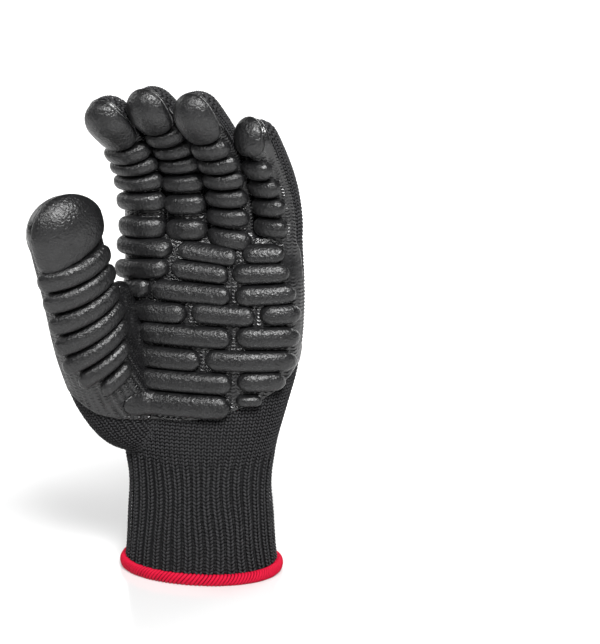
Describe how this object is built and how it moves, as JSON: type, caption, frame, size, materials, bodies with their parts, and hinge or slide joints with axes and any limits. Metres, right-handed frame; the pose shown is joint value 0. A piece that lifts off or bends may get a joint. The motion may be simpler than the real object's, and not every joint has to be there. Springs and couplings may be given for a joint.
{
  "type": "anti vibration glove",
  "caption": "Left-hand knitted work glove, dark grey, with a dipped rubber palm, ribbed damping pads on palm and fingers, a knit cuff and a red wound hem.",
  "frame": {"origin": "centre of the cuff opening, in the plane of its hem", "axes": "+Z from the cuff towards the fingertips, +X from the thumb side towards the little finger side, -Y out of the palm, +Y out of the back of the hand"},
  "size_m": [0.1253, 0.11, 0.2634],
  "materials": {
    "knit": "matt knitted yarn",
    "coating": "satin dipped skin with the knit's imprint",
    "pad": "satin, fine leathery grain",
    "hem": "wound red overlock thread",
    "patch": "smooth bare heat-pressed patch"
  },
  "bodies": {
    "root": {"knit_hand": "knit", "knit_cuff": "knit", "knit_thumb": "knit", "knit_index": "knit", "knit_middle": "knit", "knit_ring": "knit", "knit_little": "knit", "coating": "coating", "hem_roll": "hem", "back_patch": "patch", "pad_palm_a1": "pad", "pad_palm_a2": "pad", "pad_palm_a3": "pad", "pad_palm_b1": "pad", "pad_palm_b2": "pad", "pad_palm_b3": "pad", "pad_palm_c1": "pad", "pad_palm_c2": "pad", "pad_palm_c3": "pad", "pad_palm_d1": "pad", "pad_palm_d2": "pad", "pad_palm_d3": "pad", "pad_palm_e1": "pad", "pad_palm_e2": "pad", "pad_palm_f1": "pad", "pad_palm_f2": "pad", "pad_palm_g1": "pad", "pad_palm_g2": "pad", "pad_palm_h1": "pad", "pad_index_1": "pad", "pad_index_2": "pad", "pad_index_3": "pad", "pad_index_4": "pad", "pad_index_5": "pad", "pad_index_tip": "pad", "pad_middle_1": "pad", "pad_middle_2": "pad", "pad_middle_3": "pad", "pad_middle_4": "pad", "pad_middle_5": "pad", "pad_middle_6": "pad", "pad_middle_tip": "pad", "pad_ring_1": "pad", "pad_ring_2": "pad", "pad_ring_3": "pad", "pad_ring_4": "pad", "pad_ring_5": "pad", "pad_ring_6": "pad", "pad_ring_tip": "pad", "pad_little_1": "pad", "pad_little_2": "pad", "pad_little_3": "pad", "pad_little_4": "pad", "pad_little_tip": "pad", "pad_thumb_1": "pad", "pad_thumb_2": "pad", "pad_thumb_3": "pad", "pad_thumb_4": "pad", "pad_thumb_5": "pad", "pad_thumb_tip": "pad"}
  },
  "joints": []
}
